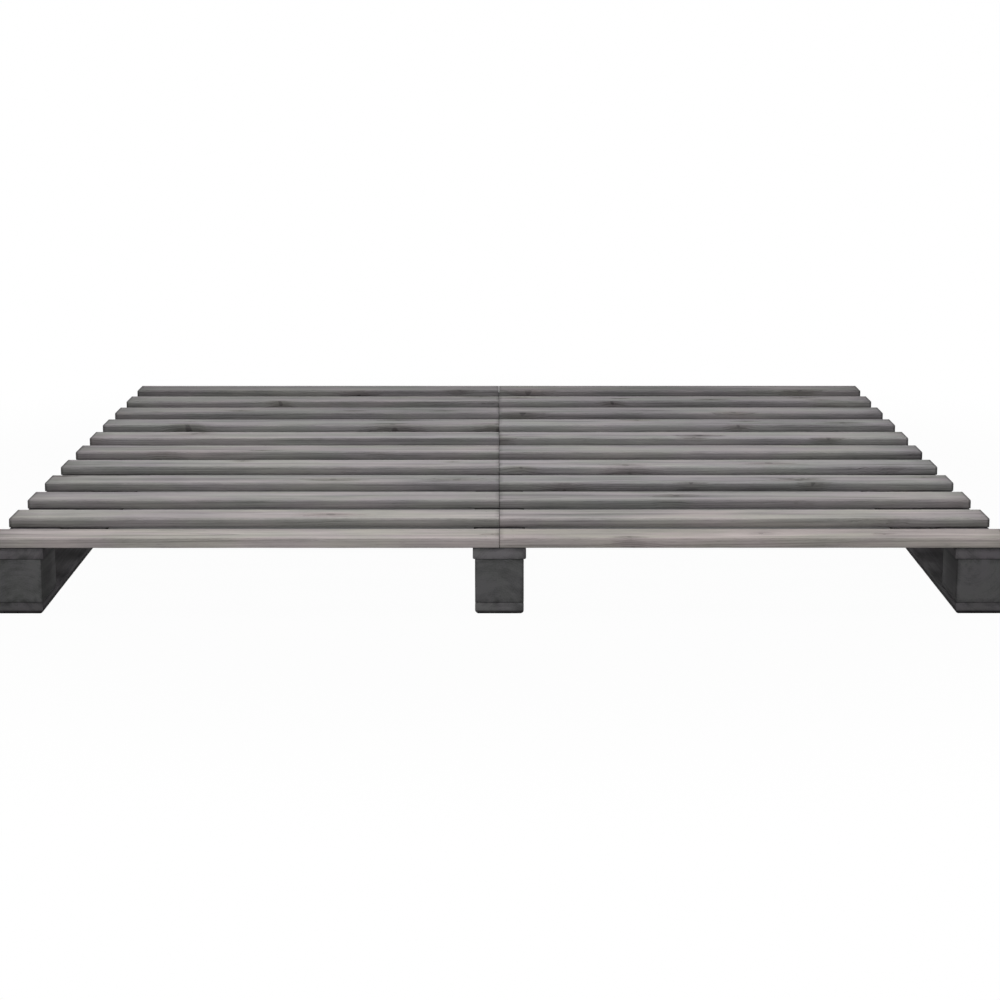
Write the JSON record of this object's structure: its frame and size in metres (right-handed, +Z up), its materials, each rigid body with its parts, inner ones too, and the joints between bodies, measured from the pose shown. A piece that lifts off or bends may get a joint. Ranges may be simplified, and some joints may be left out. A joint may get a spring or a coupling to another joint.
{
  "type": "pallet bed",
  "caption": "Low pallet-style bed base: rows of slats in two halves on three runners, each a top board, blocks and a bottom board, in grey-stained pine.",
  "frame": {"origin": "on the floor, under the middle of the bed, at the bottom faces of the runners' bottom boards", "axes": "+Z up, +X across the bed along the slats, -Y towards the foot end that the picture shows, +Y towards the head end"},
  "size_m": [2, 2, 0.1509],
  "materials": {
    "slat_grey_wash": "matt grey wash over planed pine, grain and small knots showing through",
    "runner_charcoal_stain": "matt charcoal stain over sawn pine",
    "screw_zinc": "zinc-plated steel, dull"
  },
  "bodies": {
    "root": {"slat_left_01": "slat_grey_wash", "slat_left_02": "slat_grey_wash", "slat_left_03": "slat_grey_wash", "slat_left_04": "slat_grey_wash", "slat_left_05": "slat_grey_wash", "slat_left_06": "slat_grey_wash", "slat_left_07": "slat_grey_wash", "slat_left_08": "slat_grey_wash", "slat_left_09": "slat_grey_wash", "slat_left_10": "slat_grey_wash", "slat_left_11": "slat_grey_wash", "slat_right_01": "slat_grey_wash", "slat_right_02": "slat_grey_wash", "slat_right_03": "slat_grey_wash", "slat_right_04": "slat_grey_wash", "slat_right_05": "slat_grey_wash", "slat_right_06": "slat_grey_wash", "slat_right_07": "slat_grey_wash", "slat_right_08": "slat_grey_wash", "slat_right_09": "slat_grey_wash", "slat_right_10": "slat_grey_wash", "slat_right_11": "slat_grey_wash", "top_board_left": "runner_charcoal_stain", "top_board_centre": "runner_charcoal_stain", "top_board_right": "runner_charcoal_stain", "bottom_board_left": "runner_charcoal_stain", "bottom_board_centre": "runner_charcoal_stain", "bottom_board_right": "runner_charcoal_stain", "block_left_front": "runner_charcoal_stain", "block_left_middle": "runner_charcoal_stain", "block_left_rear": "runner_charcoal_stain", "block_centre_front": "runner_charcoal_stain", "block_centre_middle": "runner_charcoal_stain", "block_centre_rear": "runner_charcoal_stain", "block_right_front": "runner_charcoal_stain", "block_right_middle": "runner_charcoal_stain", "block_right_rear": "runner_charcoal_stain", "top_screw_left_front": "screw_zinc", "top_screw_left_middle": "screw_zinc", "top_screw_left_rear": "screw_zinc", "top_screw_centre_front": "screw_zinc", "top_screw_centre_middle": "screw_zinc", "top_screw_centre_rear": "screw_zinc", "top_screw_right_front": "screw_zinc", "top_screw_right_middle": "screw_zinc", "top_screw_right_rear": "screw_zinc", "bottom_screw_left_front": "screw_zinc", "bottom_screw_left_middle": "screw_zinc", "bottom_screw_left_rear": "screw_zinc", "bottom_screw_centre_front": "screw_zinc", "bottom_screw_centre_middle": "screw_zinc", "bottom_screw_centre_rear": "screw_zinc", "bottom_screw_right_front": "screw_zinc", "bottom_screw_right_middle": "screw_zinc", "bottom_screw_right_rear": "screw_zinc"}
  },
  "joints": []
}
